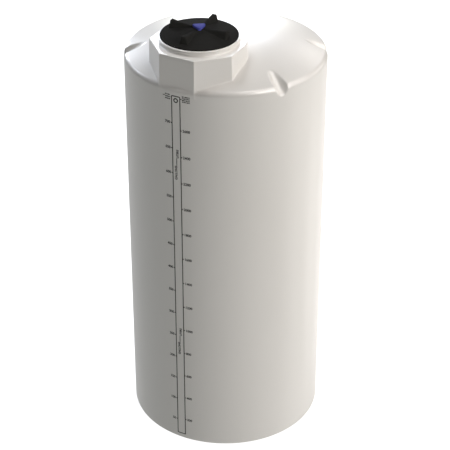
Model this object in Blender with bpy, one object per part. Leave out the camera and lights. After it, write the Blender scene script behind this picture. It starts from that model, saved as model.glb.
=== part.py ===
"""Vertical round storage tank of moulded polyethylene, with an eight-sided manway riser and a screw lid.

Metres, +Z up. The origin is at the middle of the tank's foot, on the floor. The manway faces -Y.
"""
import math

import bmesh
import bpy
from mathutils import Vector

# Fit between pieces that touch
GAP = 0.0003

# Tank shell: 48 inches across, quarter-inch wall
TANK_RADIUS = 0.6096
WALL = 0.00635
BASE_CORNER = 0.020
BASE_TOP_Z = 0.050
SHOULDER_FOOT_Z = 2.400
SHOULDER_Z = 2.4866
KNUCKLE_RADIUS = 0.040
CROWN_Z = 2.650
CROWN_SEAM_RADIUS = 0.400
WALL_SEGMENTS = 12
FACET_DEGREES = 5.0
CORNER_STEPS = 5
DOME_STEPS = 4
CROWN_STEPS = 5

# Tie-down notches: V grooves across the shoulder
NOTCH_INNER_RADIUS = 0.465
NOTCH_FOOT_Z = 2.440
NOTCH_HALF_ANGLE = math.radians(40)
NOTCH_REACH = 0.120
NOTCH_OVERRUN = 0.100

# Space inside the shell that the notches' own walls may fill
TROUGH_INSET = 0.001
TROUGH_INNER_RADIUS = 0.360
TROUGH_FOOT_Z = 2.350
TROUGH_DEGREES = 50

# Manway riser: regular octagon, 21 inches across its flats, one flat to the front
RISER_Y = -0.324
RISER_APOTHEM = 0.267
RISER_TOP_Z = 2.704
RISER_CHAMFER = 0.005
RISER_SIDES = 8
RISER_CUT_FOOT_Z = 2.300

# Neck ring, gasket and screw lid, all turned about the manway's axis
THROAT_RADIUS = 0.205
NECK_RADIUS = 0.2395
NECK_FLANGE_RADIUS = 0.244
NECK_FLANGE_TOP_Z = 2.7125
NECK_BEVEL = 0.004
NECK_TOP_Z = 2.731
GASKET_INNER_RADIUS = 0.207
GASKET_OUTER_RADIUS = 0.2235
GASKET_THICKNESS = 0.0024
LID_RADIUS = 0.2275
LID_RIM_Z = 2.740
LID_STEP_RADIUS = 0.213
LID_STEP_Z = 2.743
LID_CROWN_RADIUS = 0.032
LID_CROWN_Z = 2.778
LID_THICKNESS = 0.0045
LID_EDGE = 0.001
PLUG_RADIUS = 0.199
PLUG_WALL = 0.005
PLUG_EDGE = 0.002
PLUG_FOOT_Z = 2.695

# Grip wedges on the lid
GRIP_INNER = 0.036
GRIP_OUTER = 0.182
GRIP_TOP_Z = 2.7954
GRIP_TOP_SLOPE = 0.105
GRIP_INNER_WIDTHS = (0.016, 0.010)
GRIP_OUTER_WIDTHS = (0.052, 0.029)

# Vent on the middle of the lid
VENT_BASE_RADIUS = 0.026
VENT_BASE_TAPER = 0.002
VENT_BASE_TOP_Z = 2.785
VENT_CAP_TOP_Z = 2.796
VENT_LOBE_RADIUS = 0.044
VENT_WAIST_RADIUS = 0.020
VENT_LOBES = 3
VENT_STEPS = 48
VENT_TURN = math.radians(-55)

# Sphere that is tangent to the knuckle and reaches the crown
CROWN_RISE = CROWN_Z - SHOULDER_Z
KNUCKLE_CENTRE = TANK_RADIUS - KNUCKLE_RADIUS
DOME_RADIUS = (KNUCKLE_CENTRE**2 + CROWN_RISE**2 - KNUCKLE_RADIUS**2) / (2 * (CROWN_RISE - KNUCKLE_RADIUS))
DOME_EDGE = math.asin(KNUCKLE_CENTRE / (DOME_RADIUS - KNUCKLE_RADIUS))
CROWN_SEAM = math.asin(CROWN_SEAM_RADIUS / DOME_RADIUS)

PLASTIC_WHITE = (0.80, 0.79, 0.76)
LID_BLACK = (0.018, 0.018, 0.019)
GASKET_BLACK = (0.03, 0.03, 0.03)
VENT_BLUE = (0.06, 0.06, 0.42)


def clear_scene():
    for thing in list(bpy.data.objects):
        bpy.data.objects.remove(thing, do_unlink=True)


def make_material(name, colour, roughness, metallic=0.0):
    material = bpy.data.materials.new(name)
    material.use_nodes = True
    shader = material.node_tree.nodes["Principled BSDF"]
    shader.inputs["Base Color"].default_value = (*colour, 1.0)
    shader.inputs["Roughness"].default_value = roughness
    shader.inputs["Metallic"].default_value = metallic
    return material


def add_object(name, bm, material=None, sharp_degrees=30):
    """Makes an object of bm, with its faces turned outward."""
    bmesh.ops.remove_doubles(bm, verts=bm.verts, dist=1e-6)
    bmesh.ops.recalc_face_normals(bm, faces=bm.faces)
    mesh = bpy.data.meshes.new(name)
    bm.to_mesh(mesh)
    bm.free()
    mesh.shade_smooth()
    mesh.set_sharp_from_angle(angle=math.radians(sharp_degrees))
    piece = bpy.data.objects.new(name, mesh)
    bpy.context.scene.collection.objects.link(piece)
    if material:
        mesh.materials.append(material)
    return piece


def make_cutter(name, bm):
    cutter = add_object(name, bm)
    cutter.hide_render = True
    cutter.display_type = "WIRE"
    return cutter


def combine(piece, operation, other):
    modifier = piece.modifiers.new(f"{operation.lower()}_{other.name}", "BOOLEAN")
    modifier.operation = operation
    modifier.object = other


def turned(profile, degrees=360.0):
    """Spins a profile of (radius, height) about +Z: a closed ring, or a sector centred on +X."""
    bm = bmesh.new()
    start = 0.0 if degrees == 360.0 else -math.radians(degrees) / 2
    points = [Vector((r * math.cos(start), r * math.sin(start), z)) for r, z in profile]
    verts = [bm.verts.new(point) for point in points]
    edges = [bm.edges.new((verts[i], verts[(i + 1) % len(verts)])) for i in range(len(verts))]
    geometry = verts + edges
    if degrees < 360.0:
        geometry.append(bm.faces.new(verts))
    bmesh.ops.spin(
        bm,
        geom=geometry,
        cent=(0, 0, 0),
        axis=(0, 0, 1),
        angle=math.radians(degrees),
        steps=round(degrees / FACET_DEGREES),
        use_merge=degrees == 360.0,
    )
    return bm


def prism(outline, low, high):
    """Extrudes an outline of (x, y) from one height to another."""
    bm = bmesh.new()
    face = bm.faces.new([bm.verts.new((x, y, low)) for x, y in outline])
    raised = bmesh.ops.extrude_face_region(bm, geom=[face])["geom"]
    top = [item for item in raised if isinstance(item, bmesh.types.BMVert)]
    bmesh.ops.translate(bm, verts=top, vec=(0, 0, high - low))
    return bm


def hull(points):
    bm = bmesh.new()
    verts = [bm.verts.new(point) for point in points]
    bmesh.ops.convex_hull(bm, input=verts)
    return bm


def spread(first, last, steps):
    return [first + (last - first) * i / steps for i in range(steps + 1)]


def shell_point(angle, inset):
    """(radius, height) on the dome or knuckle where the surface leans by angle, inset from the outside."""
    if angle <= DOME_EDGE:
        centre_r, centre_z, radius = 0.0, CROWN_Z - DOME_RADIUS, DOME_RADIUS - inset
    else:
        centre_r, centre_z, radius = KNUCKLE_CENTRE, SHOULDER_Z, KNUCKLE_RADIUS - inset
    return (centre_r + radius * math.sin(angle), centre_z + radius * math.cos(angle))


def shoulder_angles(first):
    return spread(first, DOME_EDGE, DOME_STEPS) + spread(DOME_EDGE, math.pi / 2, CORNER_STEPS)[1:]


def filled_body(inset, inner_radius, foot_z):
    """Profile of everything under the dome and inside the wall, outside inner_radius."""
    first = math.asin(inner_radius / (DOME_RADIUS - inset))
    top = [shell_point(angle, inset) for angle in shoulder_angles(first)]
    return top + [(TANK_RADIUS - inset, foot_z), (inner_radius, foot_z)]


def build_bottom(material):
    def corner(radius):
        centre_r = TANK_RADIUS - BASE_CORNER
        turns = spread(0, math.pi / 2, CORNER_STEPS)
        return [(centre_r + radius * math.sin(a), BASE_CORNER - radius * math.cos(a)) for a in turns]

    top_z = BASE_TOP_Z - GAP / 2
    outside = [(0, 0)] + corner(BASE_CORNER) + [(TANK_RADIUS, top_z)]
    inside = [(0, WALL)] + corner(BASE_CORNER - WALL) + [(TANK_RADIUS - WALL, top_z)]
    add_object("tank_bottom", turned(outside + inside[::-1]), material)


def slotted(profile, degrees):
    """A sector of the round wall that leaves GAP to the next sector."""
    bm = turned(profile, degrees)
    squeeze = 1 - GAP / (math.radians(degrees) * TANK_RADIUS)
    for vert in bm.verts:
        radius = math.hypot(vert.co.x, vert.co.y)
        azimuth = math.atan2(vert.co.y, vert.co.x) * squeeze
        vert.co.x = radius * math.cos(azimuth)
        vert.co.y = radius * math.sin(azimuth)
    return bm


def build_wall(material):
    """Upright segments of the round wall, the first one under the gauge, the others anticlockwise from it."""
    low = BASE_TOP_Z + GAP / 2
    high = SHOULDER_FOOT_Z - GAP / 2
    inner = TANK_RADIUS - WALL
    profile = [(inner, low), (TANK_RADIUS, low), (TANK_RADIUS, high), (inner, high)]
    share = 360.0 / WALL_SEGMENTS
    segment = add_object("wall_segment_01", slotted(profile, share), material)
    segment.rotation_euler.z = math.radians(-90)
    for i in range(1, WALL_SEGMENTS):
        copy = segment.copy()
        copy.name = f"wall_segment_{i + 1:02d}"
        copy.rotation_euler.z = math.radians(-90 + share * i)
        bpy.context.scene.collection.objects.link(copy)


def notch_wedge(name, sink, reach):
    """V prism along a notch's valley, which lies in the plane of azimuth 0 and is sunk below it."""
    inner_z = CROWN_Z - DOME_RADIUS + math.sqrt(DOME_RADIUS**2 - NOTCH_INNER_RADIUS**2)
    inner = Vector((NOTCH_INNER_RADIUS, 0, inner_z))
    outer = Vector((TANK_RADIUS, 0, NOTCH_FOOT_Z))
    along = (outer - inner).normalized()
    outward = Vector((-along.z, 0, along.x))
    points = []
    for end in (inner - along * NOTCH_OVERRUN, outer + along * NOTCH_OVERRUN):
        valley = end - outward * sink
        points.append(valley)
        for side in (-1, 1):
            width = side * (reach + sink) * math.tan(NOTCH_HALF_ANGLE)
            points.append(valley + outward * (reach + sink) + Vector((0, width, 0)))
    return make_cutter(name, hull(points))


def build_shoulder(material, riser_hole):
    """Six segments of the shoulder. Four have a tie-down notch, which the wall follows on the inside."""
    first = CROWN_SEAM + GAP / 2 / DOME_RADIUS
    angles = shoulder_angles(first)
    low = SHOULDER_FOOT_Z + GAP / 2
    outside = [shell_point(angle, 0) for angle in angles] + [(TANK_RADIUS, low)]
    inside = [shell_point(angle, WALL) for angle in angles] + [(TANK_RADIUS - WALL, low)]
    profile = outside + inside[::-1]
    places = {
        "shoulder_front": (-90, False),
        "shoulder_front_right": (-30, True),
        "shoulder_back_right": (30, True),
        "shoulder_back": (90, False),
        "shoulder_back_left": (150, True),
        "shoulder_front_left": (210, True),
    }
    for name, (azimuth, notched) in places.items():
        segment = add_object(name, slotted(profile, 60), material)
        segment.rotation_euler.z = math.radians(azimuth)
        if notched:
            trough = notch_wedge(f"trough_{name}", WALL / math.sin(NOTCH_HALF_ANGLE), NOTCH_REACH / 2)
            body = filled_body(TROUGH_INSET, TROUGH_INNER_RADIUS, TROUGH_FOOT_Z)
            core = make_cutter(f"core_{name}", turned(body, TROUGH_DEGREES))
            groove = notch_wedge(f"groove_{name}", 0, NOTCH_REACH)
            for helper in (trough, core, groove):
                helper.rotation_euler.z = math.radians(azimuth)
            combine(trough, "INTERSECT", core)
            combine(segment, "UNION", trough)
            combine(segment, "DIFFERENCE", groove)
        if "front" in name:
            combine(segment, "DIFFERENCE", riser_hole)


def build_crown(material, riser_hole):
    angles = spread(0, CROWN_SEAM - GAP / 2 / DOME_RADIUS, CROWN_STEPS)
    outside = [shell_point(angle, 0) for angle in angles]
    inside = [shell_point(angle, WALL) for angle in angles]
    crown = add_object("roof_crown", turned(outside + inside[::-1]), material)
    combine(crown, "DIFFERENCE", riser_hole)


def octagon(apothem):
    radius = apothem / math.cos(math.pi / RISER_SIDES)
    turns = [math.pi / RISER_SIDES * (2 * i + 1) for i in range(RISER_SIDES)]
    return [(radius * math.cos(turn), radius * math.sin(turn)) for turn in turns]


def build_riser_hole():
    hole = make_cutter("riser_hole", prism(octagon(RISER_APOTHEM + GAP), RISER_CUT_FOOT_Z, CROWN_Z + WALL))
    hole.location.y = RISER_Y
    return hole


def build_riser(material):
    """Eight flat walls that stand in the roof's hole, mitred at the corners, under an eight-sided deck."""
    inner = RISER_APOTHEM - WALL
    slope = math.tan(math.pi / RISER_SIDES)
    mitre = GAP / 2 / math.cos(math.pi / RISER_SIDES)
    outline = [(inner, mitre - inner * slope), (RISER_APOTHEM, mitre - RISER_APOTHEM * slope)]
    outline += [(x, -y) for x, y in outline[::-1]]
    top_z = RISER_TOP_Z - WALL - GAP
    tank_space = make_cutter("tank_space", turned([(0, CROWN_Z - WALL)] + filled_body(WALL, 0, RISER_CUT_FOOT_Z)))
    places = ("front", "front_right", "right", "back_right", "back", "back_left", "left", "front_left")
    for i, place in enumerate(places):
        bm = prism(outline, SHOULDER_FOOT_Z, top_z)
        wall = add_object(f"riser_wall_{place}", bm, material)
        wall.location.y = RISER_Y
        wall.rotation_euler.z = math.radians(-90 + 45 * i)
        combine(wall, "DIFFERENCE", tank_space)

    low = RISER_TOP_Z - WALL
    edge = RISER_TOP_Z - RISER_CHAMFER
    points = [(x, y, low) for x, y in octagon(RISER_APOTHEM)]
    points += [(x, y, edge) for x, y in octagon(RISER_APOTHEM)]
    points += [(x, y, RISER_TOP_Z) for x, y in octagon(RISER_APOTHEM - RISER_CHAMFER)]
    deck = add_object("riser_deck", hull(points), material)
    deck.location.y = RISER_Y
    throat_profile = [(0, low - WALL), (THROAT_RADIUS, low - WALL), (THROAT_RADIUS, RISER_TOP_Z + WALL)]
    throat = make_cutter("throat", turned(throat_profile + [(0, RISER_TOP_Z + WALL)]))
    throat.location.y = RISER_Y
    combine(deck, "DIFFERENCE", throat)


def build_neck(material):
    low = RISER_TOP_Z + GAP
    profile = [
        (THROAT_RADIUS, low),
        (NECK_FLANGE_RADIUS, low),
        (NECK_FLANGE_RADIUS, NECK_FLANGE_TOP_Z),
        (NECK_RADIUS, NECK_FLANGE_TOP_Z),
        (NECK_RADIUS, NECK_TOP_Z - NECK_BEVEL),
        (NECK_RADIUS - NECK_BEVEL, NECK_TOP_Z),
        (THROAT_RADIUS, NECK_TOP_Z),
    ]
    neck = add_object("neck_ring", turned(profile), material)
    neck.location.y = RISER_Y


def lid_cone_z(radius):
    """Height of the lid's sloping top at a radius from its middle."""
    fall = (LID_CROWN_Z - LID_STEP_Z) / (LID_STEP_RADIUS - LID_CROWN_RADIUS)
    return LID_CROWN_Z - fall * (radius - LID_CROWN_RADIUS)


def build_lid(lid_black, gasket_black, vent_blue):
    """Gasket, lid, grips and vent, on an empty that stands on the manway's axis."""
    axis = bpy.data.objects.new("lid_axis", None)
    axis.location = (0, RISER_Y, NECK_TOP_Z)
    bpy.context.scene.collection.objects.link(axis)

    def place(piece):
        piece.parent = axis
        piece.location.z = -NECK_TOP_Z

    gasket_low = NECK_TOP_Z + GAP
    gasket_high = gasket_low + GASKET_THICKNESS
    ring = [
        (GASKET_INNER_RADIUS, gasket_low),
        (GASKET_OUTER_RADIUS, gasket_low),
        (GASKET_OUTER_RADIUS, gasket_high),
        (GASKET_INNER_RADIUS, gasket_high),
    ]
    place(add_object("lid_gasket", turned(ring), gasket_black))

    rim_low = gasket_high + GAP
    inner = PLUG_RADIUS - PLUG_WALL
    profile = [
        (0, LID_CROWN_Z),
        (LID_CROWN_RADIUS, LID_CROWN_Z),
        (LID_STEP_RADIUS, LID_STEP_Z),
        (LID_STEP_RADIUS + PLUG_EDGE, LID_RIM_Z),
        (LID_RADIUS - LID_EDGE, LID_RIM_Z),
        (LID_RADIUS, LID_RIM_Z - LID_EDGE),
        (LID_RADIUS, rim_low),
        (PLUG_RADIUS, rim_low),
        (PLUG_RADIUS, PLUG_FOOT_Z + PLUG_EDGE),
        (PLUG_RADIUS - PLUG_EDGE, PLUG_FOOT_Z),
        (inner, PLUG_FOOT_Z),
        (inner, lid_cone_z(inner) - LID_THICKNESS),
        (LID_CROWN_RADIUS, LID_CROWN_Z - LID_THICKNESS),
        (0, LID_CROWN_Z - LID_THICKNESS),
    ]
    place(add_object("lid", turned(profile), lid_black))

    for i, where in enumerate(("right", "back", "left", "front")):
        grip = add_object(f"lid_grip_{where}", hull(grip_points()), lid_black)
        place(grip)
        grip.rotation_euler.z = math.radians(90 * i)

    base = [
        (0, LID_CROWN_Z + GAP),
        (VENT_BASE_RADIUS, LID_CROWN_Z + GAP),
        (VENT_BASE_RADIUS - VENT_BASE_TAPER, VENT_BASE_TOP_Z),
        (0, VENT_BASE_TOP_Z),
    ]
    place(add_object("vent_base", turned(base), vent_blue))
    cap = add_object("vent_cap", prism(lobed_outline(), VENT_BASE_TOP_Z + GAP, VENT_CAP_TOP_Z), vent_blue)
    place(cap)
    cap.rotation_euler.z = VENT_TURN


def lobed_outline():
    """Outline of the vent's knob: rounded lobes with hollows between them."""
    middle = (VENT_LOBE_RADIUS + VENT_WAIST_RADIUS) / 2
    swing = (VENT_LOBE_RADIUS - VENT_WAIST_RADIUS) / 2
    outline = []
    for turn in spread(0, 2 * math.pi, VENT_STEPS)[:-1]:
        radius = middle + swing * math.cos(VENT_LOBES * turn)
        outline.append((radius * math.cos(turn), radius * math.sin(turn)))
    return outline


def grip_points():
    """Corners of one grip wedge along +X: low and narrow by the vent, tall and wide at its outer end."""
    points = []
    for radius, widths in ((GRIP_INNER, GRIP_INNER_WIDTHS), (GRIP_OUTER, GRIP_OUTER_WIDTHS)):
        top_z = GRIP_TOP_Z - GRIP_TOP_SLOPE * (GRIP_OUTER - radius)
        for width, height in zip(widths, (lid_cone_z(radius) + GAP, top_z)):
            points += [(radius, width / 2, height), (radius, -width / 2, height)]
    return points


def build_tank():
    clear_scene()
    white = make_material("tank_plastic", PLASTIC_WHITE, 0.42)
    ring_white = make_material("neck_plastic", PLASTIC_WHITE, 0.38)
    black = make_material("lid_plastic", LID_BLACK, 0.45)
    rubber = make_material("gasket_rubber", GASKET_BLACK, 0.80)
    blue = make_material("vent_plastic", VENT_BLUE, 0.40)
    riser_hole = build_riser_hole()
    build_bottom(white)
    build_wall(white)
    build_shoulder(white, riser_hole)
    build_crown(white, riser_hole)
    build_riser(white)
    build_neck(ring_white)
    build_lid(black, rubber, blue)


build_tank()
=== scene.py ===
import math

import bmesh
import bpy
import numpy as np
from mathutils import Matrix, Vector


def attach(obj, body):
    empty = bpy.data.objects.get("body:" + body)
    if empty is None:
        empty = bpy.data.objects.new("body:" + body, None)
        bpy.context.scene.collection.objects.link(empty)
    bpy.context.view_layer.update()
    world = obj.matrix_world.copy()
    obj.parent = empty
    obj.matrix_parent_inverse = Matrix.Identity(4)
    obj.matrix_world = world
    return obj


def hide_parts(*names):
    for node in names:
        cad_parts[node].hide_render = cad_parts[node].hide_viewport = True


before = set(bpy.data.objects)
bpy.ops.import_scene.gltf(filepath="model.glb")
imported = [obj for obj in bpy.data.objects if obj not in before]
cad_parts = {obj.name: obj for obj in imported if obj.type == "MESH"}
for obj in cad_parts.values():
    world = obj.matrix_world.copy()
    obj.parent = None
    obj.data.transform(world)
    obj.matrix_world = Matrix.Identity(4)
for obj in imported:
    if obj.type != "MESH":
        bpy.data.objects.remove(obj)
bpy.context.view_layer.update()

# Tank shell, as in the CAD frame. The visible skin lies a hair inside it, so that the print stays in its box.
SKIN = 0.0004
TANK_RADIUS = 0.6096 - SKIN
WALL = 0.00635
BASE_CORNER = 0.004
LEAST_CORNER = 0.002
SHOULDER_Z = 2.4866
KNUCKLE_RADIUS = 0.040
CROWN_Z = 2.650
KNUCKLE_CENTRE = TANK_RADIUS - KNUCKLE_RADIUS
CROWN_RISE = CROWN_Z - SHOULDER_Z
DOME_RADIUS = (KNUCKLE_CENTRE**2 + CROWN_RISE**2 - KNUCKLE_RADIUS**2) / (2 * (CROWN_RISE - KNUCKLE_RADIUS))
DOME_CENTRE_Z = CROWN_Z - DOME_RADIUS
DOME_EDGE = math.asin(KNUCKLE_CENTRE / (DOME_RADIUS - KNUCKLE_RADIUS))

# Manway riser
RISER_Y = -0.324
RISER_APOTHEM = 0.270
RISER_DRAFT = 0.018
RISER_TOP_Z = 2.704
RISER_FOOT_Z = 2.470
RISER_EDGE = 0.0055
RISER_CORNER = 0.005
RISER_REAR_CORNER = 0.180
RISER_FILLET = 0.006
THROAT_RADIUS = 0.205
EIGHTH = math.pi / 4

# Tie-down notches
NOTCH_AZIMUTHS = [math.radians(a) for a in (-30, 30, 150, 210)]
NOTCH_INNER_RADIUS = 0.478
NOTCH_FOOT_Z = 2.459
NOTCH_RADIUS = 0.040
NOTCH_EDGE = 0.005

# The body's mesh is fine from this radius out and down to this height, so that the notches are crisp
FINE_RADIUS = 0.450
FINE_FOOT_Z = 2.420

# Its columns stand about the riser's axis. They are closer at the riser's corners and where the notches are:
# middle, half width and step in degrees
COLUMN_STEP = 1.0
CLOSE_COLUMNS = [(22.5 + 45 * i, 1.2, 0.3) for i in (-2, -1, 0, 1)] + [(5, 7.5, 0.5), (50.6, 5, 0.36)]

# Samples of a column's path over the whole dome and round the knuckle
DOME_SAMPLES = 60
KNUCKLE_SAMPLES = 16

# Its rows on the deck, the deck's edge, the riser's wall and foot, the coarse roof and the fine shoulder
OUTER_ROWS = (6, 6, 6, 10, 14, 56)
INNER_ROWS = (4, 2, 4, 5, 8, 26)
FOOT_SPAN = 1.3 * RISER_FILLET
ROOF_CROWDING = 1.5

# Heights of its rows on the wall, steps round the foot's edge, and radii of its rows on the bottom
OUTER_LOW_ROWS = ((2.25, 1.8, 1.3, 0.8, 0.3, 0.06), 7, (0.4, 0.15))
INNER_LOW_ROWS = ((2.2, 1.2, 0.3), 4, (0.3,))

# Neck, gasket and lid
NECK_TOP_Z = 2.731
NECK_LIP_Z = 2.7365
NECK_BORE = 0.2052
NECK_WALL_RADIUS = 0.2355
GASKET_GAP = 0.0003
LID_LOW_Z = 2.734
LID_RIM_Z = 2.743
LID_RADIUS = 0.2275
LID_CONE_RADIUS = 0.2130
LID_CROWN_Z = 2.778
LID_CROWN_RADIUS = 0.032
LID_SLOPE = 0.034 / 0.181
LID_WALL = 0.0045
PLUG_RADIUS = 0.199
PLUG_BORE = 0.194
PLUG_LOW_Z = 2.695
SEGMENTS = 128

# Grips. They widen and rise from the lid's middle outward, so each width is given at both ends.
GRIP_RADII = (0.036, 0.182)
GRIP_BASE = (0.016, 0.052)
GRIP_TOP = (0.010, 0.029)
GRIP_TOP_Z = 2.7954
GRIP_FALL = 0.105
GRIP_SINK = 0.0015
GRIP_STEPS = 14

# Vent
VENT_LOBE = 0.0405
VENT_WAIST = 0.0270
VENT_DISC = 0.0170
VENT_TURN = math.radians(-56)
VENT_SHARPNESS = 2.4
VENT_STEPS = 96


# Helpers


def mix(start, end, share):
    """Value at that share of the way from start to end."""
    return start + (end - start) * share


def bridge(bm, rings):
    """Bands of faces from each ring of points to the next."""
    for one, two in zip(rings, rings[1:]):
        for i in range(len(one)):
            j = (i + 1) % len(one)
            bm.faces.new((one[i], one[j], two[j], two[i]))


def loft(bm, rings):
    """Bands of faces over the rings, closed by a flat face at both ends."""
    bridge(bm, rings)
    bm.faces.new(rings[0][::-1])
    bm.faces.new(rings[-1])


def finish(bm, name, sharp_degrees=35):
    """Turns the working mesh into a piece of the scene, smooth where it bends by less than that angle."""
    bmesh.ops.recalc_face_normals(bm, faces=bm.faces)
    mesh = bpy.data.meshes.new(name)
    bm.to_mesh(mesh)
    bm.free()
    mesh.shade_smooth()
    mesh.set_sharp_from_angle(angle=math.radians(sharp_degrees))
    piece = bpy.data.objects.new(name, mesh)
    bpy.context.scene.collection.objects.link(piece)
    return piece


# Surface of the moulded body


def fold(turn):
    """Angle from the middle of the nearest of the riser's eight flats."""
    return (turn + EIGHTH / 2) % EIGHTH - EIGHTH / 2


def roof_height(radius, inset=0.0):
    """Height of the dome and knuckle at a distance from the tank's axis."""
    edge = KNUCKLE_CENTRE + (KNUCKLE_RADIUS - inset) * math.sin(DOME_EDGE)
    dome = DOME_CENTRE_Z + np.sqrt((DOME_RADIUS - inset) ** 2 - np.minimum(radius, edge) ** 2)
    across = np.maximum(radius - KNUCKLE_CENTRE, 0)
    knuckle = SHOULDER_Z + np.sqrt(np.maximum((KNUCKLE_RADIUS - inset) ** 2 - across**2, 0))
    return np.where(radius < edge, dome, knuckle)


def shell_field(x, y, z):
    """Distance outside the plain round tank, negative inside."""
    radius = np.hypot(x, y)
    across = radius - KNUCKLE_CENTRE
    above = z - SHOULDER_Z
    dome = np.hypot(radius, z - DOME_CENTRE_Z) - DOME_RADIUS
    plain = np.maximum(radius - TANK_RADIUS, dome)
    at_knuckle = (above > 0) & (across > 0) & (np.arctan2(across, above) > DOME_EDGE)
    return np.where(at_knuckle, np.hypot(across, above) - KNUCKLE_RADIUS, plain)


def riser_apothem(z):
    """Half the riser's width across its flats, which lean out a little toward the roof."""
    return RISER_APOTHEM + RISER_DRAFT * (RISER_TOP_Z - np.maximum(z, RISER_FOOT_Z))


def riser_reach(turn, inset, z):
    """Distance from the riser's axis to its wall in one direction."""
    lean = abs(fold(turn))
    apothem = float(riser_apothem(z)) - inset
    corner = RISER_REAR_CORNER - inset
    flat = apothem - corner
    if math.sin(turn) <= 0 or apothem * math.tan(lean) < flat * math.tan(EIGHTH / 2):
        return apothem / math.cos(lean)
    centre = flat / math.cos(EIGHTH / 2)
    off = EIGHTH / 2 - lean
    return centre * math.cos(off) + math.sqrt(corner**2 - (centre * math.sin(off)) ** 2)


def riser_field(x, y, z):
    """Distance outside the eight-sided riser, whose rear corners are wide curves."""
    reach = np.hypot(x, y - RISER_Y)
    turn = fold(np.arctan2(y - RISER_Y, x))
    corner = np.where(y > RISER_Y, RISER_REAR_CORNER, RISER_CORNER)
    flat = riser_apothem(z) - corner
    out = reach * np.cos(turn) - flat
    past = np.abs(reach * np.sin(turn)) - flat * math.tan(EIGHTH / 2)
    side = np.where(past > 0, np.hypot(out, past), out) - corner + RISER_EDGE
    top = z - RISER_TOP_Z + RISER_EDGE
    edge = np.hypot(np.maximum(side, 0), np.maximum(top, 0))
    return np.maximum(np.minimum(np.maximum(side, top), 0) + edge - RISER_EDGE, RISER_FOOT_Z - z)


def notch_field(x, y, z):
    """Distance outside the nearest round-bottomed groove, negative in it."""
    inner_z = float(roof_height(NOTCH_INNER_RADIUS))
    run = TANK_RADIUS - NOTCH_INNER_RADIUS
    fall = NOTCH_FOOT_Z - inner_z
    length = math.hypot(run, fall)
    nearest = np.full(x.shape, 1.0)
    for azimuth in NOTCH_AZIMUTHS:
        out = x * math.cos(azimuth) + y * math.sin(azimuth)
        across = y * math.cos(azimuth) - x * math.sin(azimuth)
        height = (-(out - NOTCH_INNER_RADIUS) * fall + (z - inner_z) * run) / length
        groove = np.hypot(across, np.minimum(height - NOTCH_RADIUS, 0)) - NOTCH_RADIUS
        nearest = np.where(out > 0, np.minimum(nearest, groove), nearest)
    return nearest


def body_field(points):
    """Distance outside the tank and riser, joined by a small fillet, with the notches cut out of them."""
    x, y, z = points[..., 0], points[..., 1], points[..., 2]
    shell, riser = shell_field(x, y, z), riser_field(x, y, z)
    corner = np.hypot(np.maximum(RISER_FILLET - shell, 0), np.maximum(RISER_FILLET - riser, 0))
    body = np.maximum(RISER_FILLET, np.minimum(shell, riser)) - corner
    cut = -notch_field(x, y, z)
    edge = np.hypot(np.maximum(NOTCH_EDGE + body, 0), np.maximum(NOTCH_EDGE + cut, 0))
    return np.minimum(-NOTCH_EDGE, np.maximum(body, cut)) + edge


def column_turns():
    """Directions of the mesh's columns about the riser's axis, the same to its left as to its right."""
    half, turn = [], -90.0
    while turn < 90:
        half.append(turn)
        steps = [step for middle, reach, step in CLOSE_COLUMNS if abs(turn - middle) < reach]
        turn += steps[0] if steps else COLUMN_STEP
    half.append(90.0)
    return np.radians(half + [180.0 - t for t in half[-2:0:-1]])


def column_path(turn, inset):
    """Points (reach from the riser's axis, height) down one column, before its edges are rounded."""
    def tank_radius(reach):
        return np.hypot(reach * math.cos(turn), RISER_Y + reach * math.sin(turn))

    def reach_to(radius):
        along = RISER_Y * math.sin(turn)
        return -along + np.sqrt(along**2 - RISER_Y**2 + radius**2)

    top_side = riser_reach(turn, inset, RISER_TOP_Z)
    foot_z = float(roof_height(tank_radius(top_side), inset))
    side = riser_reach(turn, inset, foot_z)
    foot_z = float(roof_height(tank_radius(side), inset))
    bend = KNUCKLE_RADIUS - inset
    first = DOME_EDGE
    deck_z = RISER_TOP_Z - inset
    points = [np.array([[THROAT_RADIUS, deck_z], [top_side, deck_z], [side, foot_z]])]
    dome_end = float(reach_to(KNUCKLE_CENTRE + bend * math.sin(DOME_EDGE)))
    if side < dome_end:
        reach = np.linspace(side, dome_end, DOME_SAMPLES)[1:]
        points.append(np.stack([reach, roof_height(tank_radius(reach), inset)], -1))
    else:
        first = math.asin(min(1.0, (float(tank_radius(side)) - KNUCKLE_CENTRE) / bend))
    lean = np.linspace(first, math.pi / 2, KNUCKLE_SAMPLES)[1:]
    knuckle_reach = reach_to(KNUCKLE_CENTRE + bend * np.sin(lean))
    points.append(np.stack([knuckle_reach, SHOULDER_Z + bend * np.cos(lean)], -1))
    points.append(np.array([[float(reach_to(TANK_RADIUS - inset)), FINE_FOOT_Z]]))
    path = np.concatenate(points)
    run = np.concatenate([[0], np.cumsum(np.hypot(*np.diff(path, axis=0).T))])
    fine_reach = float(reach_to(FINE_RADIUS))
    on_roof = np.interp(max(fine_reach, side), path[3:, 0], run[3:]) if side < dome_end else run[2]
    return path, run, float(on_roof)


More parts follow.
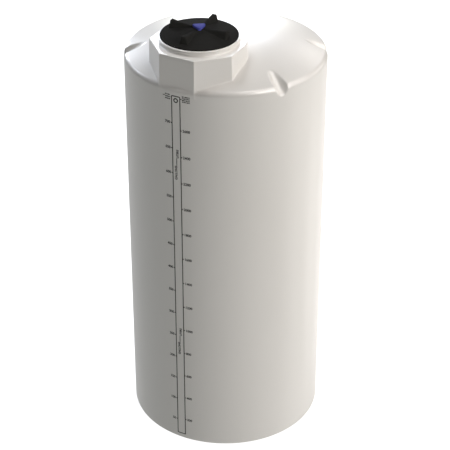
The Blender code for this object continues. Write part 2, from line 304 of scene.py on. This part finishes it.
def column_rows(turn, inset, counts):
    """Samples one column's path, stretch by stretch, with that many rows on each."""
    path, run, on_roof = column_path(turn, inset)
    deck, edge, wall, foot, roof, shoulder = counts
    edge_start, edge_end = run[1] - RISER_EDGE, run[1] + RISER_EDGE
    foot_start, foot_end = run[2] - FOOT_SPAN, run[2] + FOOT_SPAN
    roof_end = max(on_roof, run[2] + 2 * RISER_FILLET)
    marks = np.concatenate([
        np.linspace(0, edge_start, deck),
        np.linspace(edge_start, edge_end, edge + 1)[1:],
        np.linspace(edge_end, foot_start, wall + 1)[1:],
        np.linspace(foot_start, foot_end, foot + 1)[1:],
        mix(foot_end, roof_end, (np.arange(1, roof + 1) / roof) ** ROOF_CROWDING),
        np.linspace(roof_end, run[-1], shoulder + 1)[1:],
    ])
    return np.stack([np.interp(marks, run, path[:, 0]), np.interp(marks, run, path[:, 1])], -1)


def settle(grid, turns, inset):
    """Moves each point in its column's upright plane, by short steps, onto the surface at that inset."""
    out = np.stack([np.cos(turns), np.sin(turns)], -1)

    def place(flat):
        reach = flat[..., 0:1]
        return np.concatenate([reach * out[:, None], flat[..., 1:2]], -1) + np.array([0, RISER_Y, 0])

    rounds, step, share = 12, 1e-5, 0.9
    least_slope, longest_move = 0.3, 0.008
    for _ in range(rounds):
        here = body_field(place(grid)) + inset
        slope = np.stack(
            [(body_field(place(grid + offset)) - body_field(place(grid - offset))) / (2 * step)
             for offset in (np.array([step, 0.0]), np.array([0.0, step]))], -1)
        steepness = np.maximum((slope**2).sum(-1), least_slope**2)
        move = -share * (here / steepness)[..., None] * slope
        length = np.maximum(np.hypot(move[..., 0], move[..., 1]), 1e-9)[..., None]
        grid = grid + move * np.minimum(1.0, longest_move / length)
    return place(grid)


def skin(turns, inset, counts, wall_heights, corner_steps, floor_radii):
    """Rows of points of one side of the shell, from the throat down to near the middle of the bottom."""
    grid = np.stack([column_rows(turn, inset, counts) for turn in turns])
    upper = settle(grid, turns, inset)
    upper[:, 0, 0] = THROAT_RADIUS * np.cos(turns)
    upper[:, 0, 1] = THROAT_RADIUS * np.sin(turns) + RISER_Y
    upper[:, 0, 2] = RISER_TOP_Z - inset
    last = upper[:, -1]
    azimuth = np.arctan2(last[:, 1], last[:, 0])
    around = np.stack([np.cos(azimuth), np.sin(azimuth)], -1)
    side = TANK_RADIUS - inset
    profile = [(side, z) for z in wall_heights]
    bend = max(BASE_CORNER - inset, LEAST_CORNER)
    for i in range(corner_steps + 1):
        lean = math.pi / 2 * i / corner_steps
        profile.append((side - bend * (1 - math.cos(lean)), inset + bend * (1 - math.sin(lean))))
    profile += [(radius, inset) for radius in floor_radii]
    rows = [upper[:, i] for i in range(upper.shape[1])]
    rows += [np.concatenate([radius * around, np.full((len(turns), 1), z)], -1) for radius, z in profile]
    return rows


def build_body():
    """One moulding with an outer and an inner face that meet round the throat."""
    turns = column_turns()
    outside = skin(turns, 0.0, OUTER_ROWS, *OUTER_LOW_ROWS)
    inside = skin(turns, WALL, INNER_ROWS, *INNER_LOW_ROWS)
    bm = bmesh.new()
    rings = [[bm.verts.new(point) for point in row.tolist()] for row in inside[::-1] + outside]
    bridge(bm, rings)
    for ring, z in ((rings[0], WALL), (rings[-1], 0.0)):
        middle = bm.verts.new((0, 0, z))
        for i in range(len(ring)):
            bm.faces.new((ring[i], ring[(i + 1) % len(ring)], middle))
    return finish(bm, "tank_body", 50)


# Turned and lofted pieces about the manway's axis


def rounded(profile, closed=True, steps=4):
    """Rounds each corner (radius, height, size of its round) of a profile."""
    points = []
    count = len(profile)
    for i, (r, z, size) in enumerate(profile):
        here = Vector((r, z))
        before = Vector(profile[(i - 1) % count][:2]) - here
        after = Vector(profile[(i + 1) % count][:2]) - here
        if size <= 0 or (not closed and i in (0, count - 1)):
            points.append((r, z))
            continue
        half = before.angle(after) / 2
        longest = min(before.length, after.length) * 0.49
        reach = min(size / math.tan(half), longest)
        start, end = here + before.normalized() * reach, here + after.normalized() * reach
        for k in range(steps + 1):
            t = k / steps
            point = start * (1 - t) ** 2 + here * 2 * t * (1 - t) + end * t**2
            points.append((point.x, point.y))
    return points


def turned(name, profile, closed=True):
    """Turns a profile of (radius, height) about the manway's axis. An open one starts and ends on it."""
    bm = bmesh.new()
    rings = []
    for r, z in profile:
        if r < 1e-6:
            rings.append([bm.verts.new((0, RISER_Y, z))])
            continue
        rings.append([
            bm.verts.new((r * math.cos(t), RISER_Y + r * math.sin(t), z))
            for t in (2 * math.pi * i / SEGMENTS for i in range(SEGMENTS))
        ])
    following = rings[1:] + (rings[:1] if closed else [])
    for one, two in zip(rings, following):
        for i in range(SEGMENTS):
            j = (i + 1) % SEGMENTS
            corners = [one[i % len(one)], one[j % len(one)], two[j % len(two)], two[i % len(two)]]
            unique = list(dict.fromkeys(corners))
            if len(unique) > 2:
                bm.faces.new(unique)
    return finish(bm, name)


def ridges(heights, radius, tip, half_width, tip_round):
    """Profile of a thread's ridges, from the highest down, on an upright wall of that radius."""
    points = []
    for z in heights:
        points += [(radius, z + half_width, 0.0005), (tip, z, tip_round), (radius, z - half_width, 0.0005)]
    return points


def build_neck():
    """White ring: an upright wall on a small foot, an overhanging lip and thread ridges in its bore."""
    low = RISER_TOP_Z - 0.001
    profile = [
        (NECK_BORE, low, 0),
        (0.2410, low, 0),
        (0.2400, 2.7048, 0.001),
        (NECK_WALL_RADIUS, 2.7095, 0.003),
        (NECK_WALL_RADIUS, 2.7305, 0.001),
        (0.2390, 2.7325, 0.001),
        (0.2335, NECK_LIP_Z, 0.002),
        (0.2287, NECK_LIP_Z, 0.001),
        (0.2285, NECK_TOP_Z, 0.001),
        (NECK_BORE, NECK_TOP_Z, 0.001),
    ]
    profile += ridges((2.7240, 2.7130), NECK_BORE, 0.2036, 0.002, 0.0008)
    return turned("neck", rounded(profile))


def build_gasket():
    """Flat seal that lies between the neck's top and the lid's underside."""
    low, high = NECK_TOP_Z + GASKET_GAP, LID_LOW_Z - GASKET_GAP
    corners = [(0.207, low), (0.2235, low), (0.2235, high), (0.207, high)]
    return turned("gasket", rounded([(radius, z, 0.0008) for radius, z in corners]))


def lid_top(radius):
    """Height of the lid's sloping top."""
    return LID_CROWN_Z - LID_SLOPE * (radius - LID_CROWN_RADIUS)


def build_lid():
    """Shallow cone with a flat rim, over a hollow plug with thread ridges."""
    profile = [
        (0.0, LID_CROWN_Z, 0),
        (LID_CROWN_RADIUS, LID_CROWN_Z, 0.010),
        (LID_CONE_RADIUS, lid_top(LID_CONE_RADIUS), 0.0015),
        (LID_CONE_RADIUS + 0.0015, LID_RIM_Z, 0.001),
        (LID_RADIUS, LID_RIM_Z, 0.0015),
        (LID_RADIUS, LID_LOW_Z, 0.001),
        (PLUG_RADIUS, LID_LOW_Z, 0.001),
    ]
    profile += ridges((2.7265, 2.7175, 2.7085), PLUG_RADIUS, 0.2014, 0.0025, 0.001)
    profile += [
        (PLUG_RADIUS, PLUG_LOW_Z, 0.002),
        (PLUG_BORE, PLUG_LOW_Z, 0.001),
        (PLUG_BORE, lid_top(PLUG_BORE) - LID_WALL, 0.002),
        (LID_CROWN_RADIUS, LID_CROWN_Z - LID_WALL, 0.010),
        (0.0, LID_CROWN_Z - LID_WALL, 0),
    ]
    return turned("lid_shell", rounded(profile, closed=False), closed=False)


def build_grip(name, turn):
    """One grip wedge, lofted outward from its low inner end to its tall outer end, with a flared foot."""
    stations = []
    for i in range(GRIP_STEPS + 1):
        share = i / GRIP_STEPS
        radius = mix(*GRIP_RADII, share)
        top = GRIP_TOP_Z - GRIP_FALL * (GRIP_RADII[1] - radius)
        stations.append((radius, top, mix(*GRIP_BASE, share) / 2, mix(*GRIP_TOP, share) / 2))
    radius, top, base_half, top_half = stations[-1]
    for out, drop in ((0.0012, 0.0006), (0.0022, 0.002), (0.0028, 0.0045)):
        stations.append((radius + out, top - drop, base_half - out * 0.4, top_half - drop * 0.5))
    bm = bmesh.new()
    rings = []
    for radius, top, base_half, top_half in stations:
        foot = lid_top(radius) - GRIP_SINK
        height = top - foot
        # Half of the section, from its flared foot up to its rounded top
        half = [
            (base_half + 0.004, 0.0),
            (base_half + 0.0015, 0.0022),
            (base_half - 0.0002, 0.006),
            ((base_half + top_half) / 2, height * 0.55),
            (top_half + 0.0012, height - 0.0045),
            (top_half - 0.0006, height - 0.0014),
            (top_half - 0.0036, height),
        ]
        half = [(w, min(h, height)) for w, h in half]
        ring = half + [(-w, h) for w, h in half[::-1]]
        rings.append([bm.verts.new((radius, w, foot + h)) for w, h in ring])
    loft(bm, rings)
    piece = finish(bm, name, 40)
    piece.rotation_euler.z = turn
    piece.location = (0, RISER_Y, 0)
    return piece


def build_vent():
    """Three-lobed knob with a raised round middle, set in a little at its foot."""
    # Height of each ring, and how far it stands out from its outline
    knob = [(2.7762, -0.0040), (2.7804, -0.0040), (2.7812, -0.0008), (2.7822, 0.0), (2.7925, 0.0),
            (2.7940, -0.0006), (2.7950, -0.0022), (2.7952, -0.0050)]
    middle = [(2.7952, 0.0010), (2.7956, 0.0004), (2.7957, -0.0010)]
    bm = bmesh.new()
    rings = []
    for waist, lobe, levels in ((VENT_WAIST, VENT_LOBE, knob), (VENT_DISC, VENT_DISC, middle)):
        for z, size in levels:
            ring = []
            for i in range(VENT_STEPS):
                turn = 2 * math.pi * i / VENT_STEPS
                swell = (0.5 + 0.5 * math.cos(3 * turn)) ** VENT_SHARPNESS
                radius, angle = mix(waist, lobe, swell) + size, turn + VENT_TURN
                ring.append(bm.verts.new((radius * math.cos(angle), RISER_Y + radius * math.sin(angle), z)))
            rings.append(ring)
    loft(bm, rings)
    return finish(bm, "vent_knob", 50)


# Volume scale, printed on the wall

# Faces of the print, out from the visible wall
PRINT_OUT = SKIN - 0.0001
PRINT_IN = -0.0002

# Longest flat stretch of a bar, and step of an arc in degrees
BAR_FACET = 0.012
ARC_STEP = 15

# Letters: height of a capital as a share of the font's size, and how much bolder than the font they are
CAPITAL_SHARE = 0.7
BOLDNESS = 0.0007

# Strip between its two long lines
STRIP_HALF = 0.027
LINE = 0.0055
SCALE_FOOT_Z = 0.030
SCALE_TOP_Z = 2.4695
SCALE_CORNER = 0.009

# Ticks and their numbers
TICK = 0.007
DIGIT = 0.0165
DIGIT_GAP = 0.004
FIRST_TICK_Z = 0.1404
GALLON_TICKS = 14
GALLONS_A_TICK = 50
GALLON_STEP = 0.16555
LITRE_TICKS = 13
LITRES_A_TICK = 200
LITRES_A_GALLON = 3.785411784
LITRE_SHIFT = 0.0029

# Names of the units, upright in the strip: word, place across the strip and size. They stand there twice,
# with a line between them: heights of both, and ends of the line
LITRE_NAME = ("LITERS", 0.0065, 0.0135)
GALLON_NAME = ("GALLONS", -0.0045, 0.0145)
UNIT_PLACES = [(2.095, 1.967, (2.014, 2.065)), (0.8326, 0.7068, (0.7546, 0.802))]
UNIT_LINE_HALF = 0.0020

# Small print at the top: ends of its rows, their heights, and the lengths of its dashes in turn
LEFT_PRINT = (-0.0715, -0.0355, (2.4690, 2.4555, 2.4425))
RIGHT_PRINT = (0.0405, 0.0885, (2.4725, 2.4615, 2.4505, 2.4400))
PRINT_DASHES = (0.009, 0.005, 0.012, 0.007)
SHORTEST_DASH = 0.003
PRINT_SPACE = 0.0028
PRINT_HALF = 0.0033


def on_wall(x, z, out):
    """Point on the wall at x along it from the scale's middle."""
    turn = -math.pi / 2 + x / TANK_RADIUS
    radius = TANK_RADIUS + out
    return (radius * math.cos(turn), radius * math.sin(turn), z)


def add_bar(bm, x0, x1, z0, z1):
    """Thin printed bar, curved with the wall."""
    across = max(1, round(abs(x1 - x0) / BAR_FACET))
    section = [(z0, PRINT_IN), (z0, PRINT_OUT), (z1, PRINT_OUT), (z1, PRINT_IN)]
    columns = [mix(x0, x1, i / across) for i in range(across + 1)]
    loft(bm, [[bm.verts.new(on_wall(x, z, out)) for z, out in section] for x in columns])


def add_outline(bm, points):
    """Printed patch with that outline of (x, z)."""
    loft(bm, [[bm.verts.new(on_wall(x, z, out)) for x, z in points] for out in (PRINT_OUT, PRINT_IN)])


def add_words(bm, words, x, z, size, align, upright=False):
    """Printed words, centred on height z. upright turns them to read upward. The depth that the text is given
    only tells its front from its back."""
    curve = bpy.data.curves.new("words", "FONT")
    curve.body = words
    curve.size = size / CAPITAL_SHARE
    curve.align_x = align
    curve.align_y = "CENTER"
    curve.extrude = PRINT_OUT
    curve.resolution_u = 3
    curve.offset = BOLDNESS
    text = bpy.data.objects.new("words", curve)
    bpy.context.scene.collection.objects.link(text)
    bpy.context.view_layer.update()
    mesh = bpy.data.meshes.new_from_object(text.evaluated_get(bpy.context.evaluated_depsgraph_get()))
    verts = []
    for vert in mesh.vertices:
        u, v, out = vert.co
        if upright:
            u, v = -v, u
        verts.append(bm.verts.new(on_wall(x + u, z + v, PRINT_OUT if out > 0 else PRINT_IN)))
    for face in mesh.polygons:
        bm.faces.new([verts[i] for i in face.vertices])
    bpy.data.objects.remove(text)
    bpy.data.meshes.remove(mesh)


def add_arc(bm, x, z, inner, outer, start, end):
    """Printed arc about (x, z), from one angle to another in degrees."""
    count = max(3, round(abs(end - start) / ARC_STEP))
    turns = [math.radians(mix(start, end, i / count)) for i in range(count + 1)]
    for one, two in zip(turns, turns[1:]):
        add_outline(bm, [
            (x + inner * math.cos(one), z + inner * math.sin(one)),
            (x + outer * math.cos(one), z + outer * math.sin(one)),
            (x + outer * math.cos(two), z + outer * math.sin(two)),
            (x + inner * math.cos(two), z + inner * math.sin(two)),
        ])


def add_small_print(bm, x0, x1, heights):
    """Rows of short dashes in place of small print."""
    for row, z in enumerate(heights):
        x, dash = x0, row
        while x < x1 - SHORTEST_DASH:
            length = min(PRINT_DASHES[dash % len(PRINT_DASHES)], x1 - x)
            add_bar(bm, x, x + length, z - PRINT_HALF, z + PRINT_HALF)
            x += length + PRINT_SPACE
            dash += 1


def add_tick(bm, side, z, number):
    """Tick on one side of the strip, with its number beside it."""
    start, end = STRIP_HALF + LINE / 2, STRIP_HALF + LINE / 2 + TICK
    add_bar(bm, *sorted((side * start, side * end)), z - LINE / 2, z + LINE / 2)
    add_words(bm, str(number), side * (end + DIGIT_GAP), z, DIGIT, "LEFT" if side > 0 else "RIGHT")


def build_scale():
    """Strip with gallons on its left and litres on its right, from the wall's foot to the shoulder."""
    bm = bmesh.new()
    outer, inner = STRIP_HALF + LINE / 2, STRIP_HALF - LINE / 2
    round_z = SCALE_TOP_Z - SCALE_CORNER
    for side, start in ((-1, 90), (1, 0)):
        x = side * STRIP_HALF
        add_bar(bm, x - LINE / 2, x + LINE / 2, SCALE_FOOT_Z, round_z)
        middle = side * (outer - SCALE_CORNER)
        add_arc(bm, middle, round_z, SCALE_CORNER - LINE, SCALE_CORNER, start, start + 90)
    add_bar(bm, -inner, inner, SCALE_FOOT_Z, SCALE_FOOT_Z + LINE)
    add_bar(bm, SCALE_CORNER - outer, outer - SCALE_CORNER, SCALE_TOP_Z - LINE, SCALE_TOP_Z)

    for count in range(1, GALLON_TICKS + 1):
        add_tick(bm, -1, FIRST_TICK_Z + GALLON_STEP * (count - 1), GALLONS_A_TICK * count)
    for count in range(1, LITRE_TICKS + 1):
        gallons = LITRES_A_TICK * count / LITRES_A_GALLON
        z = FIRST_TICK_Z + GALLON_STEP * (gallons / GALLONS_A_TICK - 1) + LITRE_SHIFT
        add_tick(bm, 1, z, LITRES_A_TICK * count)

    for litres_z, gallons_z, line_ends in UNIT_PLACES:
        for (words, x, size), z in ((LITRE_NAME, litres_z), (GALLON_NAME, gallons_z)):
            add_words(bm, words, x, z, size, "CENTER", upright=True)
        add_bar(bm, -UNIT_LINE_HALF, UNIT_LINE_HALF, *line_ends)

    # Small print on both sides with a short line before it, and a plain ring between
    add_bar(bm, -0.088, -0.074, 2.4565, 2.4605)
    add_small_print(bm, *LEFT_PRINT)
    add_bar(bm, outer, 0.038, 2.4525, 2.4565)
    add_small_print(bm, *RIGHT_PRINT)
    add_arc(bm, 0.0, 2.4405, 0.0085, 0.0150, 0, 360)
    return finish(bm, "volume_scale", 20)


# Materials


class Look:
    """A material whose colour, roughness and surface can vary with the place on the piece."""

    def __init__(self, name, colour, roughness, specular, refraction=1.5):
        self.material = bpy.data.materials.new(name)
        self.material.use_nodes = True
        self.nodes, self.links = self.material.node_tree.nodes, self.material.node_tree.links
        self.inputs = self.nodes["Principled BSDF"].inputs
        self.inputs["Base Color"].default_value = (*colour, 1.0)
        self.inputs["Roughness"].default_value = roughness
        self.inputs["Specular IOR Level"].default_value = specular
        self.inputs["IOR"].default_value = refraction
        self.place = self.nodes.new("ShaderNodeTexCoord")

    def noise(self, scale, detail, stretch=(1, 1, 1)):
        """Output of a noise with that many waves a metre."""
        mapping = self.nodes.new("ShaderNodeMapping")
        mapping.inputs["Scale"].default_value = stretch
        self.links.new(self.place.outputs["Object"], mapping.inputs["Vector"])
        noise = self.nodes.new("ShaderNodeTexNoise")
        noise.inputs["Scale"].default_value = scale
        noise.inputs["Detail"].default_value = detail
        self.links.new(mapping.outputs["Vector"], noise.inputs["Vector"])
        return noise.outputs["Fac"]

    def vary(self, socket, noise, low, high):
        """Lets an input of the shader run between two values, as colours, with a noise."""
        ramp = self.nodes.new("ShaderNodeValToRGB")
        for stop, position, colour in zip(ramp.color_ramp.elements, (0.3, 0.7), (low, high)):
            stop.position = position
            stop.color = (*colour, 1.0)
        self.links.new(noise, ramp.inputs["Fac"])
        self.links.new(ramp.outputs["Color"], self.inputs[socket])

    def bump(self, *layers):
        """Chains bump nodes, one for each (noise, distance, strength)."""
        normal = None
        for height, distance, strength in layers:
            bump = self.nodes.new("ShaderNodeBump")
            bump.inputs["Distance"].default_value = distance
            bump.inputs["Strength"].default_value = strength
            self.links.new(height, bump.inputs["Height"])
            if normal:
                self.links.new(normal, bump.inputs["Normal"])
            normal = bump.outputs["Normal"]
        self.links.new(normal, self.inputs["Normal"])


def grey(level):
    return (level,) * 3


def moulded_white():
    """Satin milky plastic, faintly cloudy and wavy, with a fine grain."""
    look = Look("moulded_white", (0.80, 0.785, 0.75), 0.33, specular=1.0, refraction=1.8)
    look.vary("Base Color", look.noise(2.2, 4.0, (1, 1, 0.35)), (0.785, 0.770, 0.735), (0.815, 0.800, 0.768))
    look.vary("Roughness", look.noise(18, 4.0), grey(0.31), grey(0.35))
    wave, grain = look.noise(7, 1.0, (1, 1, 0.5)), look.noise(130, 2.0)
    look.bump((wave, 0.004, 0.2), (grain, 0.0006, 0.12))
    return look.material


def lid_black():
    """Dull black plastic with a fine grain."""
    look = Look("lid_black", (0.0145, 0.0145, 0.0138), 0.9, specular=0.02)
    look.vary("Base Color", look.noise(14, 5.0), (0.0135, 0.0135, 0.0127), (0.0158, 0.0158, 0.0149))
    look.vary("Roughness", look.noise(40, 4.0), grey(0.85), grey(0.95))
    look.bump((look.noise(900, 2.0), 0.0003, 0.5))
    return look.material


def gasket_rubber():
    """Dark grey rubber."""
    look = Look("gasket_rubber", grey(0.03), 0.8, specular=0.3)
    look.vary("Base Color", look.noise(60, 4.0), grey(0.022), grey(0.038))
    look.bump((look.noise(1500, 2.0), 0.0002, 0.5))
    return look.material


def vent_blue():
    """Dull blue plastic."""
    look = Look("vent_blue", (0.05, 0.056, 0.235), 0.7, specular=0.05)
    look.vary("Base Color", look.noise(30, 3.0), (0.046, 0.052, 0.22), (0.054, 0.060, 0.25))
    look.bump((look.noise(700, 2.0), 0.0002, 0.4))
    return look.material


def scale_ink():
    """Black ink, a little uneven."""
    look = Look("scale_ink", grey(0.008), 0.6, specular=0.2)
    look.vary("Base Color", look.noise(90, 4.0), grey(0.004), (0.014, 0.013, 0.012))
    return look.material


def floor_white():
    """Pale floor that glows, so that it stays even."""
    look = Look("floor_white", grey(0.5), 0.9, specular=0.1)
    look.inputs["Emission Color"].default_value = (1, 1, 1, 1)
    look.inputs["Emission Strength"].default_value = 0.85
    return look.material


# Studio

# Camera. Its azimuth is that of the way from the tank to it, in degrees.
VIEW_AZIMUTH = -62
CAMERA_PLACE = (3.998, -7.520, 6.431)
CAMERA_TILT = 58.865
CAMERA_LENS = 124.74
CAMERA_SHIFT = -0.0016

# Surroundings below the horizon, from straight down up to it: place on the ramp and brightness
FLOOR_HALF = 60
FLOOR_GLOW = (1.0, 1.0, 0.97)
FLOOR_LEVELS = [(0.0, 0.80), (0.75, 0.40), (0.82, 0.0), (1.0, 0.0)]

# Lights
LIGHT_REACH = 30.0
LIGHT_SIZE = 10.0
MIDDLE_Z = 1.4
WARM = (1.0, 0.955, 0.92)
WHITE = (1.0, 1.0, 0.95)
PALE = (0.97, 0.985, 1.0)
COOL = (0.87, 0.91, 1.0)

# Each is azimuth from the camera's own (positive to its right), elevation, watts and colour
KEY_LIGHTS = [(60, 8, 1150, WARM), (45, 28, 2160, WARM), (75, 28, 990, WARM), (30, 48, 410, WARM),
              (60, 48, 920, WARM), (105, 48, 780, WARM), (60, 68, 980, WARM)]
SIDE_LIGHTS = [(90, 8, 510, WARM), (120, 8, 830, WARM), (90, 28, 450, WARM), (150, 28, 440, WARM)]
REAR_LIGHTS = [(180, 8, 1800, WHITE), (180, 28, 2760, COOL), (-150, 8, 2960, COOL), (-150, 28, 600, COOL),
               (-120, 28, 1210, COOL), (-120, 68, 2500, PALE)]
LOW_LIGHTS = [(90, -30, 130, WARM), (120, -30, 260, WARM), (150, -30, 320, WARM)]
FILL_LIGHT = (-10, 5, 3900, WHITE)


def add_light(name, turn, elevation, power, colour):
    """Large far light that faces the tank's middle."""
    light = bpy.data.lights.new(name, "AREA")
    light.shape = "DISK"
    light.size = LIGHT_SIZE
    light.energy = power
    light.color = colour
    lamp = bpy.data.objects.new(name, light)
    azimuth, rise = math.radians(VIEW_AZIMUTH + turn), math.radians(elevation)
    way = Vector((math.cos(azimuth) * math.cos(rise), math.sin(azimuth) * math.cos(rise), math.sin(rise)))
    lamp.location = Vector((0, 0, MIDDLE_Z)) + way * LIGHT_REACH
    lamp.rotation_euler = way.to_track_quat("Z", "Y").to_euler()
    lamp.visible_camera = False
    bpy.context.scene.collection.objects.link(lamp)
    return lamp


def build_floor():
    """Pale floor that only the camera sees. The surroundings light the tank from below in its place."""
    bm = bmesh.new()
    bmesh.ops.create_grid(bm, x_segments=1, y_segments=1, size=FLOOR_HALF)
    mesh = bpy.data.meshes.new("floor")
    bm.to_mesh(mesh)
    bm.free()
    floor = bpy.data.objects.new("floor", mesh)
    bpy.context.scene.collection.objects.link(floor)
    mesh.materials.append(floor_white())
    floor.visible_diffuse = False
    floor.visible_glossy = False
    floor.visible_shadow = False


def build_surroundings():
    """Dark above the horizon, and as bright as a pale floor below it."""
    world = bpy.data.worlds.new("studio")
    bpy.context.scene.world = world
    world.use_nodes = True
    nodes, links = world.node_tree.nodes, world.node_tree.links
    way = nodes.new("ShaderNodeTexCoord")
    split = nodes.new("ShaderNodeSeparateXYZ")
    drop = nodes.new("ShaderNodeMapRange")
    drop.inputs["From Min"].default_value = -1.0
    drop.inputs["From Max"].default_value = 0.0
    ramp = nodes.new("ShaderNodeValToRGB")
    stops = ramp.color_ramp.elements
    for position, _ in FLOOR_LEVELS[1:-1]:
        stops.new(position)
    for stop, (_, level) in zip(stops, FLOOR_LEVELS):
        stop.color = (*(level * c for c in FLOOR_GLOW), 1)
    links.new(way.outputs["Generated"], split.inputs["Vector"])
    links.new(split.outputs["Z"], drop.inputs["Value"])
    links.new(drop.outputs["Result"], ramp.inputs["Fac"])
    links.new(ramp.outputs["Color"], nodes["Background"].inputs["Color"])


def add_lid_fill(pieces):
    """Soft light from the camera's side that falls on the lid's dark pieces only."""
    lit = bpy.data.collections.new("lid_fill")
    for piece in pieces:
        lit.objects.link(piece)
    add_light("light_fill", *FILL_LIGHT).light_linking.receiver_collection = lit


def build_camera():
    """Camera in front and to the right, looking down at the tank."""
    data = bpy.data.cameras.new("camera")
    data.lens = CAMERA_LENS
    data.sensor_width = 36
    data.shift_x = CAMERA_SHIFT
    camera = bpy.data.objects.new("camera", data)
    camera.location = CAMERA_PLACE
    camera.rotation_euler = (math.radians(CAMERA_TILT), 0, math.radians(VIEW_AZIMUTH + 90))
    bpy.context.scene.collection.objects.link(camera)
    bpy.context.scene.camera = camera
    bpy.context.scene.view_settings.view_transform = "Standard"


def build_studio():
    build_floor()
    build_surroundings()
    for i, light in enumerate(KEY_LIGHTS + SIDE_LIGHTS + REAR_LIGHTS + LOW_LIGHTS):
        add_light(f"light_{i + 1:02d}", *light)
    build_camera()


# Pieces on their bodies


def put(piece, material, body, slot, *nodes):
    """Gives a piece its material, the body that it moves with and the CAD nodes that it stands for."""
    piece.data.materials.append(material)
    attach(piece, body)
    if nodes:
        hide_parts(*nodes)
    return piece


def dress():
    """Builds every visible piece, on the body that carries it."""
    white, black = moulded_white(), lid_black()
    moulding = ("tank_bottom", "wall_segment", "shoulder", "roof", "riser")
    shell_nodes = [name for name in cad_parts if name.startswith(moulding)]
    put(build_body(), white, "tank", "tank_plastic", *shell_nodes)
    put(build_neck(), white, "tank", "neck_plastic", "neck_ring")
    put(build_scale(), scale_ink(), "tank", "tank_plastic")
    put(build_gasket(), gasket_rubber(), "lid_seal", "gasket_rubber", "lid_gasket")
    dark = [
        put(build_lid(), black, "lid", "lid_plastic", "lid"),
        put(build_vent(), vent_blue(), "lid", "vent_plastic", "vent_base", "vent_cap"),
    ]
    for i, where in enumerate(("right", "back", "left", "front")):
        grip = build_grip(f"grip_{where}", math.pi / 2 * i)
        dark.append(put(grip, black, "lid", "lid_plastic", f"lid_grip_{where}"))
    add_lid_fill(dark)


dress()
build_studio()
